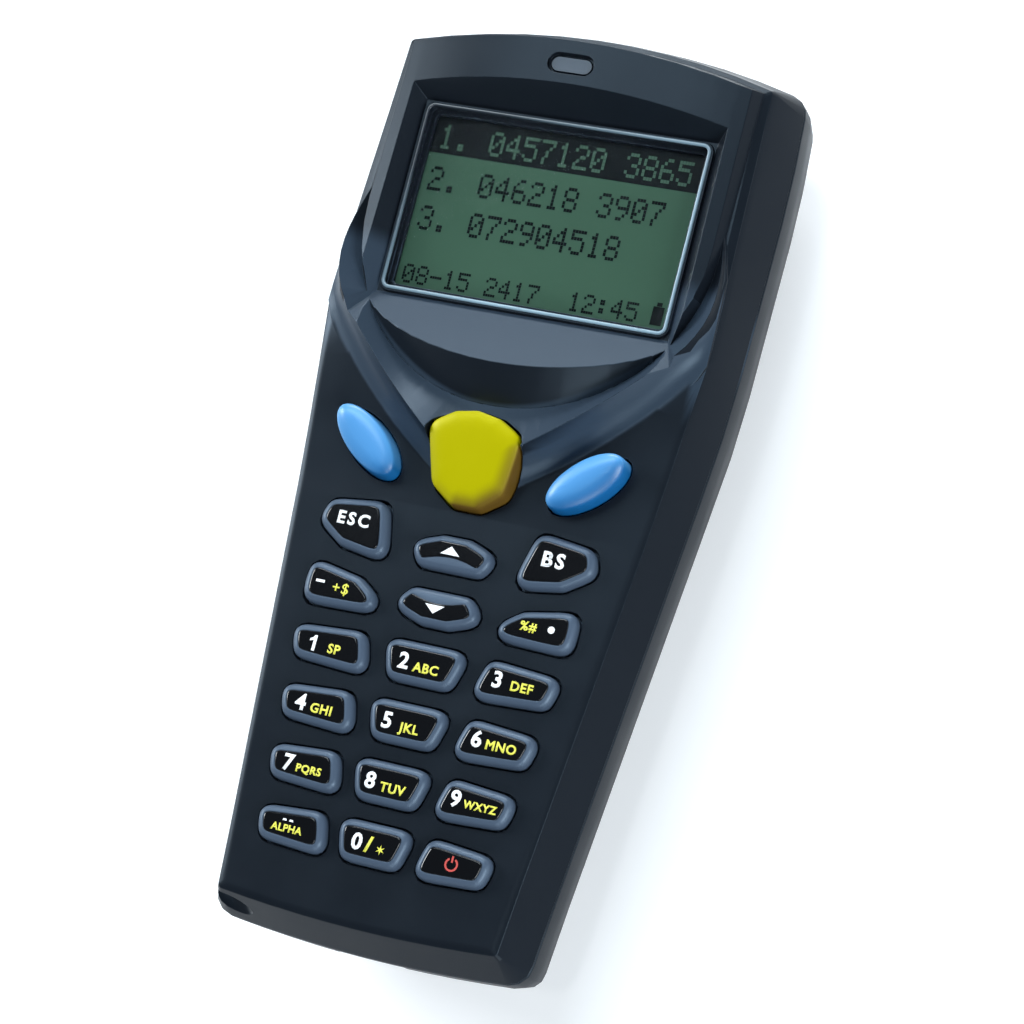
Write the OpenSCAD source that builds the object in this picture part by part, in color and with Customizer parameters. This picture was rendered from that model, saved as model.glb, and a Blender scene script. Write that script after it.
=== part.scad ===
// Handheld barcode data terminal: a pocket scanner with a crowned display hood, a tapered
// grip, a rubber keypad of twenty-one keys and a battery door that slides off its back.
// Millimetres. X runs across, Y runs from the grip end to the scanning end and Z points out
// of the keypad. The origin is under the middle of the body, at the lowest point of its back.

/* [Body] */
// Overall length, from the grip end to the scanning end
body_len = 122; // [120:1:134]
// Overall width, across the head
head_w = 56; // [54:0.5:60]
// Width of the seam at the grip end
grip_w = 42.2; // [41:0.2:46]
// Distance from the scanning end to the shoulders
shoulder_from_top = 41; // [39:0.5:43]
// Wall thickness of both covers
wall = 2; // [1.8:0.1:2.4]
// Lean of the side walls, from the seam to the edge of the face
side_draft = 2.2; // [1.9:0.05:2.5]
// Extra width of the face's edge at the shoulders
shoulder_flare = 0.6; // [0.2:0.05:1]
// Rounding along the edge of the face
edge_r = 1.5; // [1:0.1:2]
// Rounding of the grip's back, measured across
back_round = 8.5; // [7:0.5:10]
// Extra rounding of the hump behind the head
hump_round = 5.5; // [4:0.5:6.5]
// Height of the grip's back above the hump behind the head
grip_step = 4.4; // [3.6:0.2:5.2]
// Corner radius at the scanning end
head_corner_r = 3; // [2.5:0.5:5]
// Corner radius at the grip end
grip_corner_r = 3; // [2.5:0.5:5]
// Bow of the scanning end
head_bow = 4; // [3.4:0.2:5.4]
// Bow of the grip end
grip_bow = 1.2; // [0.8:0.2:2.4]
// Rise of the face between the keypad and the head
head_rise = 1.4; // [1:0.1:1.8]
// Height of the lip that joins the covers
lip_h = 0.9; // [0.6:0.1:1.2]
// Diameter of the hole for a wrist strap
strap_hole_d = 3.4; // [3:0.1:3.8]

/* [Hood] */
// Height of the hood's crown above the keypad's face
hood_rise = 6.95; // [6.4:0.05:7.4]
// Width of the hood at its foot
hood_w = 48; // [47:0.2:48.6]
// Radius of the hood's crown, seen from the end
crown_r = 87; // [80:1:100]
// Fall of the crown towards the grip, in degrees
crown_tilt = 1.2; // [0.8:0.1:1.6]
// Distance from the scanning end to the centre of the hood's round lower end
brow_from_top = 28.7; // [28:0.1:29.6]
// Radius of the panel's lower edge
panel_r = 30; // [28:0.5:34]
// Radius of each arm of the collar
collar_r = 113; // [105:1:120]
// Width of the collar at the shoulders
collar_w = 2.6; // [2.2:0.1:2.8]
// Height of the collar's ridge above the hood's foot
collar_rise = 2.6; // [2.2:0.1:3]

/* [Display] */
// Width of the window
window_w = 38.2; // [36.8:0.2:38.6]
// Length of the window
window_l = 24.2; // [23:0.2:24.6]
// Thickness of the window
window_t = 1.2; // [1:0.1:1.4]
// Distance from the scanning end to the middle of the window
window_from_top = 27.1; // [26.8:0.1:27.6]
// Height of the window's rim above the keypad's face
display_rise = 1.65; // [1.4:0.05:2]
// Tilt of the window, in degrees
display_tilt = 2.6; // [2:0.1:3]
// Width of the raised rim round the window
bead_w = 0.75; // [0.6:0.05:0.9]
// Height of the raised rim round the window
bead_h = 0.4; // [0.3:0.05:0.6]
// Thickness of the display glass
lcd_t = 2; // [1.6:0.1:2.2]

/* [Keys] */
// Distance between the rows of number keys
key_pitch = 7.65; // [7.3:0.05:7.8]
// Distance from the scanning end to the middle of the first number row
keys_from_top = 86.1; // [85.8:0.1:87]
// Loss of width from one row to the next
row_taper = 0.045; // [0.035:0.005:0.05]
// Width of the rubber skirt round each black cap
key_rim = 1; // [0.8:0.05:1.1]
// Height of the black caps above the face
key_rise = 1.45; // [1.2:0.05:1.7]
// Depth to which a key is pressed
key_travel = 1; // [0.8:0.1:1.2]
// Thickness of the flange under each key
flange_t = 1; // [0.8:0.1:1.2]
// Thickness of the keypad's rubber sheet
mat_t = 1; // [0.8:0.1:1.4]
// Height of the scan key above the face at its upper corners
scan_key_rise = 4.25; // [3.9:0.05:4.5]

/* [Inside] */
// Diameter of a battery cell
cell_d = 10.5; // [10:0.1:10.8]
// Length of a battery cell
cell_len = 44.5; // [43.5:0.5:45.5]
// Length of a fitted battery spring
spring_len = 4; // [3.6:0.1:4.4]
// Wire diameter of a battery spring
spring_wire = 0.6; // [0.5:0.05:0.65]
// Thickness of the battery door
door_t = 1.6; // [1.4:0.1:1.9]
// Width of the battery door
door_w = 25; // [24.4:0.2:25.6]
// Width of the tongue along each edge of the door
tongue_w = 0.9; // [0.6:0.1:1.1]
// Thickness of the circuit board
board_t = 1.6; // [1.2:0.2:2]
// Length of the scan engine
engine_l = 16; // [14:0.5:17]
// Width of the scan window
scan_window_w = 26; // [22:0.5:30]
// Height of the scan window
scan_window_h = 8; // [7:0.2:9]

/* [Hidden] */
$fn = 48;
SHELL = "#28303d";
SKIRT = "#6b7386";

// Running and fitting clearances
fit = 0.1;
slide_gap = 0.2;
key_gap = 0.25;
rest_gap = 0.3;
seat_gap = 0.15;

// Heights, from the back to the crown
cell_gap = 0.2;
tray_t = 1.1;
plate_t = 0.4;
door_top = grip_step + door_t;
cell_z = door_top + cell_gap + cell_d / 2;
board_z = cell_z + cell_d / 2 + cell_gap + tray_t;
seam_z = board_z + 0.3;
mat_z = board_z + board_t;
flange_z = mat_z + mat_t + key_travel + rest_gap;
under_z = flange_z + flange_t + seat_gap;
face_z = under_z + wall;
crown_z = face_z + hood_rise;
side_z = seam_z - 3;

// Places along the body
top_y = body_len / 2;
shoulder_y = top_y - shoulder_from_top;
brow_y = top_y - brow_from_top;
window_y = top_y - window_from_top;
row_y = top_y - keys_from_top;
scan_key_y = top_y - 57.5;
arrow_y = top_y - 71.7;

// ---- Plan outline -------------------------------------------------------------------

bow_n = 5;
corner_n = 4;
low_n = 9;
high_n = 5;

function lerp(a, b, t) = a + (b - a) * t;
function clamp(t) = min(max(t, 0), 1);
function smooth(t) = let (c = clamp(t)) c * c * (3 - 2 * c);
function softened(v, r) = (v + sqrt(v * v + r * r)) / 2;

// Half width of the seam: straight at the head, then an even taper, with a soft bend between
bend_r = 6;
bend_y = shoulder_y - bend_r;
grip_taper = (head_w - grip_w) / 2 / (bend_y + top_y);
seam_half = function(y) head_w / 2 - grip_taper * softened(bend_y - y, bend_r)
  - 0.002 * pow(max(y - shoulder_y - 18, 0), 2);

// Half width at the edge of the face: two straight runs that meet at the shoulders
shoulder_half = head_w / 2 - side_draft + shoulder_flare;
top_half = head_w / 2 - side_draft - shoulder_flare;
end_half = grip_w / 2 - side_draft;
function edge_half(y) = y > shoulder_y
  ? lerp(shoulder_half, top_half, (y - shoulder_y) / shoulder_from_top)
  : lerp(shoulder_half, end_half, (shoulder_y - y) / (shoulder_y + top_y));

// Height of the face along the body
face_at = function(y) face_z + head_rise * smooth((y - shoulder_y + 26) / 28);

// Height of the back along the body: a hump behind the head, a step in for the grip
function back_at(y) = grip_step * (1 - smooth((y - shoulder_y + 22) / 20));

// Radius of the bow across one end, for a half width and a depth of bow
function bow_radius(half, bow) = (half * half + bow * bow) / (2 * bow);
head_bow_r = bow_radius(seam_half(top_y - head_bow), head_bow);
grip_bow_r = bow_radius(seam_half(-top_y), grip_bow);

// One end of the right half, from the middle line round to the side, for the head
// (way 1) or the grip (way -1): a bow and a corner arc that an inset moves in together
function end_points(half_at, inset, way) =
  let (
    bow_r = (way > 0 ? head_bow_r : grip_bow_r),
    corner_r = max((way > 0 ? head_corner_r : grip_corner_r) - inset, 0.6),
    half = half_at(way * (top_y - 5)),
    x = half - corner_r,
    y0 = top_y - bow_r,
    dy = sqrt(pow(bow_r - inset - corner_r, 2) - x * x),
    a = atan2(dy, x)
  )
  [
    for (i = [0:bow_n - 1]) let (t = lerp(90, a, i / bow_n))
      [(bow_r - inset) * cos(t), way * (y0 + (bow_r - inset) * sin(t))],
    for (i = [0:corner_n - 1]) let (t = lerp(a, 0, i / (corner_n - 1)))
      [x + corner_r * cos(t), way * (y0 + dy + corner_r * sin(t))]
  ];

function reversed(list) = [for (i = [len(list) - 1:-1:0]) list[i]];

// The whole outline, counterclockwise from the middle of the grip end, mirrored at X = 0
function outline(half_at, inset) =
  let (
    low = end_points(half_at, inset, -1),
    high = end_points(half_at, inset, 1),
    y_low = low[len(low) - 1].y,
    y_high = high[len(high) - 1].y,
    side = [
      for (i = [1:low_n - 1]) lerp(y_low, shoulder_y, i / low_n),
      for (i = [0:high_n - 1]) lerp(shoulder_y, y_high, i / high_n)
    ],
    right = concat(low, [for (y = side) [half_at(y), y]], reversed(high))
  )
  concat(right, [for (i = [len(right) - 2:-1:1]) [-right[i].x, right[i].y]]);

// A ring of points at one level: the outline for a half width, an inset and a height rule
function ring(half_at, inset, height) =
  [for (p = outline(function(y) half_at(y) - inset, inset)) [p.x, p.y, height(p.y)]];

// A ring of the front, drawn in at the side walls' lean
function leaned(share) = function(y) lerp(seam_half(y), edge_half(y), share);
function front_ring(share, inset, height) =
  let (in = side_draft * share + inset)
  [
    for (p = outline(function(y) leaned(share)(y) - inset, in)) [p.x, p.y, height(p.y)]
  ];

// Solid through a stack of mirrored rings, closed by strips that run straight across
module moulding(rings) {
  n = len(rings[0]);
  last = (len(rings) - 1) * n;
  side = [
    for (k = [0:len(rings) - 2], i = [0:n - 1])
      let (a = k * n + i, b = k * n + (i + 1) % n)
      each [[a, a + n, b + n], [a, b + n, b]]
  ];
  floor = [
    for (i = [0:n / 2 - 1]) let (j = (n - i) % n, k = n - i - 1)
      i == 0 ? [0, 1, k] : i == n / 2 - 1 ? [i, i + 1, j] : [i, i + 1, k, j]
  ];
  roof = [for (f = floor) [for (i = reversed(f)) last + i]];
  polyhedron([for (r = rings) each r], concat(side, floor, roof));
}

// Upright slab of the outline at the seam
module seam_slab(inset, z, h)
  translate([0, 0, z]) linear_extrude(h) polygon(outline(function(y) seam_half(y) - inset, inset));

// Solid through rings of equal length, counterclockwise, of which the first and last are flat
module loft(rings) {
  n = len(rings[0]);
  last = (len(rings) - 1) * n;
  side = [
    for (k = [0:len(rings) - 2], i = [0:n - 1])
      let (a = k * n + i, b = k * n + (i + 1) % n)
      each [[a, a + n, b + n], [a, b + n, b]]
  ];
  polyhedron([for (r = rings) each r], concat(side, [[for (i = [0:n - 1]) i], [for (i = [n - 1:-1:0]) last + i]]));
}

// ---- Rounded shapes -----------------------------------------------------------------

// Outline of radius r round a list of corner centres, counterclockwise
function rounded(centres, r, n = 4) =
  let (m = len(centres))
  [
    for (i = [0:m - 1])
      let (
        c = centres[i],
        u = c - centres[(i + m - 1) % m],
        v = centres[(i + 1) % m] - c,
        a = atan2(u.y, u.x) - 90,
        turn = (atan2(v.y, v.x) - 90 - a + 720) % 360
      )
      for (j = [0:n - 1]) let (t = a + turn * j / (n - 1)) c + r * [cos(t), sin(t)]
  ];

function box_corners(w, l, r) =
  [[w / 2 - r, -l / 2 + r], [w / 2 - r, l / 2 - r], [-w / 2 + r, l / 2 - r], [-w / 2 + r, -l / 2 + r]];

// Rounded plate
module plate(w, l, r, h) linear_extrude(h) polygon(rounded(box_corners(w, l, r), r, 6));

// Long slot with round ends, cut or raised along Z
module slot(w, l, h) {
  for (s = [-1, 1]) translate([s * (w - l) / 2, 0, 0]) cylinder(d = l, h = h);
  translate([-(w - l) / 2, -l / 2, 0]) cube([w - l, l, h]);
}

// ---- Keys ---------------------------------------------------------------------------

cap_r = 0.45;
function mirrored(points) = [for (p = reversed(points)) [-p.x, p.y]];
function moved(points, y) = [for (p = points) [p.x, p.y + y]];
function row_scale(row) = 1 - row_taper * row;

// Corner centres of the caps, in rows below the first number row or about a key's middle
function outer_cap(row) =
  let (s = row_scale(row), y = row_y - key_pitch * row)
  [[8.7 * s, y - 1.3], [16.1 * s, y - 0.9], [16.5 * s, y + 0.6], [9.4 * s, y + 1.1]];
function middle_cap(row) =
  let (s = row_scale(row), y = row_y + 0.05 - key_pitch * row)
  [[3.2 * s, y - 1.2], [3.9 * s, y + 1.2], [-3.9 * s, y + 1.2], [-3.2 * s, y - 1.2]];
corner_cap = moved([[10.2, -1.1], [14.6, -0.4], [17.3, 1.4], [16.9, 2.7], [11.3, 3.4]], arrow_y);
side_cap = moved([[9.6, -8], [16.9, -8.2], [16.9, -5.6], [11.6, -6.6]], arrow_y);
up_cap = moved([[3.5, -0.9], [4, -0.1], [1.6, 0.75], [-1.6, 0.75], [-4, -0.1], [-3.5, -0.9]], arrow_y);
down_cap = moved([[1.6, -8.05], [4.1, -7.2], [3.3, -6.35], [-3.3, -6.35], [-4.1, -7.2], [-1.6, -8.05]], arrow_y);

scan_r = 1.9;
scan_corners = moved([[-1.3, -6.5], [1.3, -6.5], [3.3, -5.1], [4.4, 0], [2.4, 1.1], [0, 1.5], [-2.4, 1.1],
                      [-4.4, 0], [-3.3, -5.1]], scan_key_y);
scan_middle = [0, scan_key_y - 2.5];
scan_half = 5.2;
side_key_len = 11.4;
side_key_w = 5.3;
side_key_turn = 39.6;
side_key_x = 14.9;
side_key_y = scan_key_y - 2.4;

// Outlines as functions of an offset outwards
function cap_shape(centres) = function(d) rounded(centres, max(cap_r + d, 0.05));
scan_shape = function(d) d > 0
  ? rounded(scan_corners, scan_r + d)
  : [for (p = rounded(scan_corners, scan_r)) lerp(scan_middle, p, 1 + d / scan_half)];
function side_shape(way) = function(d) [
  for (i = [0:23])
    let (
      t = 15 * i,
      u = (side_key_len / 2 + d) * cos(t),
      v = (side_key_w / 2 + d) * sin(t),
      c = cos(way * side_key_turn),
      s = sin(way * side_key_turn)
    )
    [way * side_key_x + u * c - v * s, side_key_y + u * s + v * c]
];

// Height of the face under each kind of key, on which its rise is counted
scan_slope = 0.36;
scan_lift = function(y) face_at(scan_key_y) + scan_key_rise + scan_slope * (y - scan_key_y) - 1.45;
side_lift = function(y) face_at(y) + 1.35 + 0.1 * (y - side_key_y);
plain_lift = function(y) face_at(y);

// Profiles from the edge of a key to its crown: offset and height
skirt_profile = [[key_rim, 0.3 * key_rise], [0.75 * key_rim, 0.7 * key_rise], [0.25 * key_rim, 0.95 * key_rise],
                 [0, key_rise], [-0.4, key_rise + 0.14]];
dome_profile = [[0, 0.9], [-0.25, 1.25], [-0.8, 1.6], [-1.6, 1.9]];

// Name, outline, width outside the outline, profile, height rule and colour of each key
KEYS = [
  ["key_scan", scan_shape, 0, dome_profile, scan_lift, "#d9c800"],
  ["key_left", side_shape(-1), 0, dome_profile, side_lift, "#5aa7e0"],
  ["key_right", side_shape(1), 0, dome_profile, side_lift, "#5aa7e0"],
  ["key_escape", cap_shape(mirrored(corner_cap)), key_rim, skirt_profile, plain_lift, SKIRT],
  ["key_backspace", cap_shape(corner_cap), key_rim, skirt_profile, plain_lift, SKIRT],
  ["key_up", cap_shape(up_cap), key_rim, skirt_profile, plain_lift, SKIRT],
  ["key_down", cap_shape(down_cap), key_rim, skirt_profile, plain_lift, SKIRT],
  ["key_minus", cap_shape(mirrored(side_cap)), key_rim, skirt_profile, plain_lift, SKIRT],
  ["key_dot", cap_shape(side_cap), key_rim, skirt_profile, plain_lift, SKIRT],
  ["key_1", cap_shape(mirrored(outer_cap(0))), key_rim, skirt_profile, plain_lift, SKIRT],
  ["key_2", cap_shape(middle_cap(0)), key_rim, skirt_profile, plain_lift, SKIRT],
  ["key_3", cap_shape(outer_cap(0)), key_rim, skirt_profile, plain_lift, SKIRT],
  ["key_4", cap_shape(mirrored(outer_cap(1))), key_rim, skirt_profile, plain_lift, SKIRT],
  ["key_5", cap_shape(middle_cap(1)), key_rim, skirt_profile, plain_lift, SKIRT],
  ["key_6", cap_shape(outer_cap(1)), key_rim, skirt_profile, plain_lift, SKIRT],
  ["key_7", cap_shape(mirrored(outer_cap(2))), key_rim, skirt_profile, plain_lift, SKIRT],
  ["key_8", cap_shape(middle_cap(2)), key_rim, skirt_profile, plain_lift, SKIRT],
  ["key_9", cap_shape(outer_cap(2)), key_rim, skirt_profile, plain_lift, SKIRT],
  ["key_alpha", cap_shape(mirrored(outer_cap(3))), key_rim, skirt_profile, plain_lift, SKIRT],
  ["key_0", cap_shape(middle_cap(3)), key_rim, skirt_profile, plain_lift, SKIRT],
  ["key_power", cap_shape(outer_cap(3)), key_rim, skirt_profile, plain_lift, SKIRT],
];

flange_w = 0.7;
plunger_in = 0.5;
plunger_h = key_travel;

// Upright prism of a key's outline, grown by an offset
module key_prism(key, d, z, h) translate([0, 0, z]) linear_extrude(h) polygon(key[1](d));

// One key: plunger, flange, stem, and a crowned top that follows the face
module key_body(key) {
  edge = key[2];
  lift = key[4];
  rings = [
    [for (p = key[1](edge)) [p.x, p.y, flange_z + flange_t / 2]],
    for (step = key[3]) [for (p = key[1](step[0])) [p.x, p.y, lift(p.y) + step[1]]]
  ];
  n = len(rings[0]);
  m = len(rings);
  top = rings[m - 1];
  middle = [for (i = [0:2]) [for (p = top) p[i]] * [for (p = top) 1 / n]];
  crown = [middle.x, middle.y, middle.z + 0.05];
  side = [
    for (k = [0:m - 2], i = [0:n - 1]) let (a = k * n + i, b = k * n + (i + 1) % n)
      each [[a, a + n, b + n], [a, b + n, b]]
  ];
  roof = [for (i = [0:n - 1]) [(m - 1) * n + i, m * n, (m - 1) * n + (i + 1) % n]];
  color(key[5]) {
    polyhedron(concat([for (r = rings) each r], [crown]), concat(side, [[for (i = [0:n - 1]) i]], roof));
    key_prism(key, edge + flange_w, flange_z, flange_t);
    key_prism(key, -plunger_in, flange_z - plunger_h, plunger_h);
  }
}

// ---- Front cover --------------------------------------------------------------------

// Screw places, as seen on the right: near the scanning end and near the grip end
screw_y_high = top_y - 9.4;
screw_y_low = -top_y + 8.4;
boss_r = 2.4;
screw_places = [
  for (s = [-1, 1]) each [
    [s * (seam_half(screw_y_high) - wall - boss_r - 0.3), screw_y_high],
    [s * (seam_half(screw_y_low) - wall - boss_r - 0.9), screw_y_low]
  ]
];
module at_screws() for (p = screw_places) translate([p.x, p.y, 0]) children();

// Skin from the seam up the leaning walls and over the rounded edge to the face
seam_edge = 0.2;
module front_skin()
  moulding([
    front_ring(0, seam_edge, function(y) seam_z),
    front_ring(0.03, 0, function(y) seam_z + seam_edge),
    front_ring(1, 0, function(y) face_at(y) - edge_r),
    front_ring(1, 0.3 * edge_r, function(y) face_at(y) - 0.3 * edge_r),
    front_ring(1, edge_r, face_at)
  ]);

// Share of the walls' lean that is reached at a height
function lean_at(z) = (z - seam_z) / (face_z + head_rise / 2 - edge_r - seam_z);

module front_cavity()
  moulding([
    front_ring(0, wall, function(y) seam_z - 1),
    front_ring(lean_at(under_z - 1), wall, function(y) under_z - 1),
    front_ring(lean_at(under_z - 1), wall + 1, function(y) under_z)
  ]);

// Depth by which the end wall has leaned in at a height
function end_lean(z) = side_draft * (z - seam_z) / (face_z + head_rise - edge_r - seam_z);

// Height of the crown of the hood over a point
crown_y = top_y - 5;
function crown_at(x, y) =
  crown_z - crown_r + sqrt(crown_r * crown_r - x * x) + (y - crown_y) * tan(crown_tilt);

// Foot of the hood round its lower end, by the angle from the middle line
foot_rise = 2.7;
function foot_z(a) = face_z + lerp(foot_rise, head_rise + 0.3, smooth(abs(a) / 60));
function foot_point(a) = [hood_w / 2 * sin(a), brow_y - hood_w / 2 * cos(a)];

// Upper edge of the brow at the same angle: the panel's lower edge, then just inside the rail
rail_lean = 0.6;
panel_y = brow_y - hood_w / 2 + 4.9;
function brow_point(a) =
  let (r = hood_w / 2 - rail_lean, x = r * sin(a))
  [x, max(brow_y - r * cos(a), panel_y + panel_r - sqrt(panel_r * panel_r - x * x))];

// Point of the brow's face at a height, on the straight line from foot to upper edge
function brow_at(a, z) =
  let (f = foot_point(a), b = brow_point(a), zb = crown_at(b.x, b.y), t = (z - foot_z(a)) / (zb - foot_z(a)))
  [lerp(f.x, b.x, t), lerp(f.y, b.y, t), z];

// The hood's outline: the lower end and the rails from a list of points, and the bowed
// scanning end, which leans on from the end wall of the cover
end_inset = 0.7;
brow_step = 7.5;
function hood_ring(brow) =
  let (
    corner = brow[len(brow) - 1],
    r = head_bow_r - end_lean(corner.z) - end_inset,
    y0 = top_y - head_bow_r,
    end = [for (i = [5:-1:0]) let (x = corner.x * i / 5) [x, y0 + sqrt(r * r - x * x), corner.z]],
    right = concat(brow, end)
  )
  concat(right, [for (i = [len(right) - 2:-1:1]) [-right[i].x, right[i].y, right[i].z]]);
brow_angles = [for (a = [0:brow_step:90]) a];
root_ring = hood_ring([for (a = brow_angles) [foot_point(a).x, foot_point(a).y, under_z + 1]]);
foot_ring = hood_ring([for (a = brow_angles) [foot_point(a).x, foot_point(a).y, foot_z(a)]]);
cap_ring = hood_ring([for (a = brow_angles) brow_at(a, crown_z + 1)]);

// Crowned block of the hood
module hood_block()
  intersection() {
    loft([root_ring, foot_ring, cap_ring]);
    translate([0, crown_y, crown_z - crown_r])
      rotate([crown_tilt - 90, 0, 0])
        cylinder(r = crown_r, h = 2 * body_len, center = true, $fn = 180);
  }

// Ridge of the collar: a long arc from the scan key out to a point beside each shoulder,
// from which the ridge closes in on the hood's foot
shoulder_a = 60;
fade_a = 100;
collar_turn = -41;
function outward(a) = [sin(a), -cos(a)];
collar_end = foot_point(shoulder_a) + collar_w * outward(shoulder_a);
collar_c = collar_end - collar_r * [cos(collar_turn), sin(collar_turn)];
function collar_reach(a) =
  let (n = outward(a), d = foot_point(a) - collar_c, q = n * d, reach = sqrt(q * q - d * d + collar_r * collar_r) - q)
  a < shoulder_a ? reach : min(reach, collar_w * smooth((fade_a - a) / 34));
function ridge_z(a) = foot_z(a) + collar_rise * smooth((fade_a + 4 - a) / 54);

// Raised collar: it climbs from the hood's foot to the ridge, then falls in a cove to the
// face; the cove is given by shares of its run and of its fall
root_in = 0.6;
cove_w = 3.9;
cove = [[0.18, 0.4], [0.4, 0.7], [0.68, 0.9], [1, 1.02]];
function cove_run(a, r) =
  min(cove_w * smooth((fade_a - a) / 58), max((edge_half(r.y) - 0.5 - r.x) / sin(a), 0.4));
module collar() {
  right = [
    for (a = [brow_step / 4:brow_step / 2:fade_a])
      let (
        n = outward(a),
        f = foot_point(a),
        reach = collar_reach(a),
        root_z = foot_z(a) - 0.05 + (foot_z(a) - ridge_z(a)) * root_in / max(reach, 1),
        i = f - root_in * n,
        r = f + reach * n,
        run = max(cove_run(a, r), 0.3),
        o = r + run * n
      )
      [
        [i.x, i.y, under_z + 0.5],
        [i.x, i.y, root_z],
        [r.x, r.y, ridge_z(a)],
        for (c = cove) let (p = r + c[0] * run * n) [p.x, p.y, lerp(ridge_z(a), face_at(o.y), c[1])],
        [o.x, o.y, under_z + 0.5]
      ]
  ];
  left = [for (i = [len(right) - 1:-1:0]) [for (p = right[i]) [-p.x, p.y, p.z]]];
  sections = concat(left, right);
  n = len(cove) + 4;
  m = len(sections);
  side = [
    for (k = [0:m - 2], i = [0:n - 1]) let (a = n * k + i, b = n * k + (i + 1) % n)
      each [[a, a + n, b + n], [a, b + n, b]]
  ];
  polyhedron(
    [for (s = sections) each s],
    concat(side, [[for (i = [0:n - 1]) i]], [[for (i = [n - 1:-1:0]) n * (m - 1) + i]])
  );
}

// Frame of the display: origin in the middle of the rim round the window
module in_display_plane()
  translate([0, window_y, face_z + display_rise]) rotate([display_tilt, 0, 0]) children();

// Basin round the window: three steep walls, and the long bare panel towards the keys
basin_draft = 34;
panel_slope = 36.6;
basin_h = 12;
module basin() {
  w = window_w / 2 + bead_w + 0.15;
  l = window_l / 2 + bead_w + 0.15;
  run = basin_h * tan(basin_draft);
  ramp = basin_h / tan(panel_slope);
  low = [[w, -l, -bead_h], [w, l, -bead_h], [-w, l, -bead_h], [-w, -l, -bead_h]];
  z = basin_h - bead_h;
  high = [[w + run, -l - ramp, z], [w + run, l + run, z], [-w - run, l + run, z], [-w - run, -l - ramp, z]];
  in_display_plane() loft([low, high]);
}

bead_r = 1.5;
window_sink = 0.1;
ledge_w = 0.6;
ledge_t = 0.7;
lcd_w = window_w + 2.8;
lcd_l = window_l + 4.4;
lcd_top = -window_sink - window_t - ledge_t;

// Seats in the hood: window, view and display glass
module display_seats()
  in_display_plane() {
    translate([0, 0, -window_sink - window_t])
      plate(window_w + 2 * fit, window_l + 2 * fit, bead_r - bead_w + fit, 3);
    translate([0, 0, lcd_top - 1])
      plate(window_w - 2 * ledge_w, window_l - 2 * ledge_w, 0.6, 3);
    translate([-lcd_w / 2 - slide_gap, -lcd_l / 2 - slide_gap, lcd_top - 8])
      cube([lcd_w + 2 * slide_gap, lcd_l + 2 * slide_gap, 8]);
  }

// Status light: an oval recess in the crown over a tapering light guide
light_y = top_y - 8.4;
light_w = 5.4;
light_l = 1.9;
guide_d = 1.8;
light_top = crown_at(0, light_y) - 0.5;
module status_hole()
  translate([0, light_y, 0]) {
    translate([0, 0, light_top - 0.2]) slot(light_w + 0.8, light_l + 0.8, 6);
    translate([0, 0, light_top - 3]) slot(light_w + 2 * fit, light_l + 2 * fit, 6);
    translate([0, 0, under_z - 2]) cylinder(d = guide_d + 2 * fit, h = crown_z - under_z);
  }

// Hollow in the hood between the display and the scanning end
module hood_hollow() {
  y0 = window_y + lcd_l / 2 + 1.4;
  translate([-window_w / 2, y0, under_z - 1])
    cube([window_w, top_y - head_bow - wall - 1.4 - y0, light_top - 3.6 - under_z + 1]);
}

// Hole for the strap, slanting through the left corner of the grip end
strap_in = 2.9;
module strap_hole()
  translate([-seam_half(-top_y) + strap_in, -top_y + strap_in, seam_z + 3.5])
    rotate([0, 90, -45]) cylinder(d = strap_hole_d, h = 30, center = true);

module strap_corner()
  intersection() {
    front_skin();
    translate([-seam_half(-top_y) + 1.5, -top_y + 1.5, seam_z]) cylinder(r = 8, h = wall + under_z - seam_z);
  }

pilot_r = 1.05;
module front_cover()
  color(SHELL) difference() {
    union() {
      difference() {
        union() {
          front_skin();
          hood_block();
          collar();
        }
        front_cavity();
        basin();
      }
      in_display_plane() translate([0, 0, -bead_h - 1])
        plate(window_w + 2 * bead_w, window_l + 2 * bead_w, bead_r, bead_h + 1);
      at_screws() translate([0, 0, seam_z]) cylinder(r = boss_r, h = under_z - seam_z + 0.5);
      strap_corner();
    }
    display_seats();
    hood_hollow();
    status_hole();
    for (key = KEYS) key_prism(key, key[2] + key_gap, under_z - 1, 30);
    seam_slab(wall / 2 - fit, seam_z - 1, 1 + lip_h + fit);
    at_screws() translate([0, 0, seam_z - 1]) cylinder(r = pilot_r, h = 5.2);
    strap_hole();
  }

// ---- Back cover ---------------------------------------------------------------------

// Rings of the back, from its flat middle out and up to the side; grown inwards by a wall
function back_rings(in) = [
  for (i = [0:4])
    let (a = 22.5 * i)
    ring(
      function(y) seam_half(y) - hump_round * (1 - sin(a)) * (1 - back_at(y) / grip_step),
      back_round * (1 - sin(a)) + in * sin(a),
      function(y) lerp(back_at(y), side_z, 1 - cos(a)) + in * cos(a)
    )
];

module back_skin()
  moulding(concat(back_rings(0), [
    ring(seam_half, 0, function(y) seam_z - seam_edge),
    ring(seam_half, seam_edge, function(y) seam_z)
  ]));

module back_cavity() moulding(concat(back_rings(wall), [ring(seam_half, wall, function(y) seam_z + 1)]));

// The battery tray holds two cells side by side, head to tail
cell_x = cell_d / 2 + 0.2;
tray_half = cell_x + cell_d / 2 + 0.3;
tray_y0 = -top_y + 7.4;
tray_len = cell_len + spring_len + 2 * plate_t + 0.2;
tray_wall = 1.2;
rail_half = door_w / 2 + tongue_w + 1.5;
end_wall_y = tray_y0 - 2.2;
end_top_z = door_top + 3;
door_top_y = tray_y0 + tray_len + 2.1;

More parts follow.
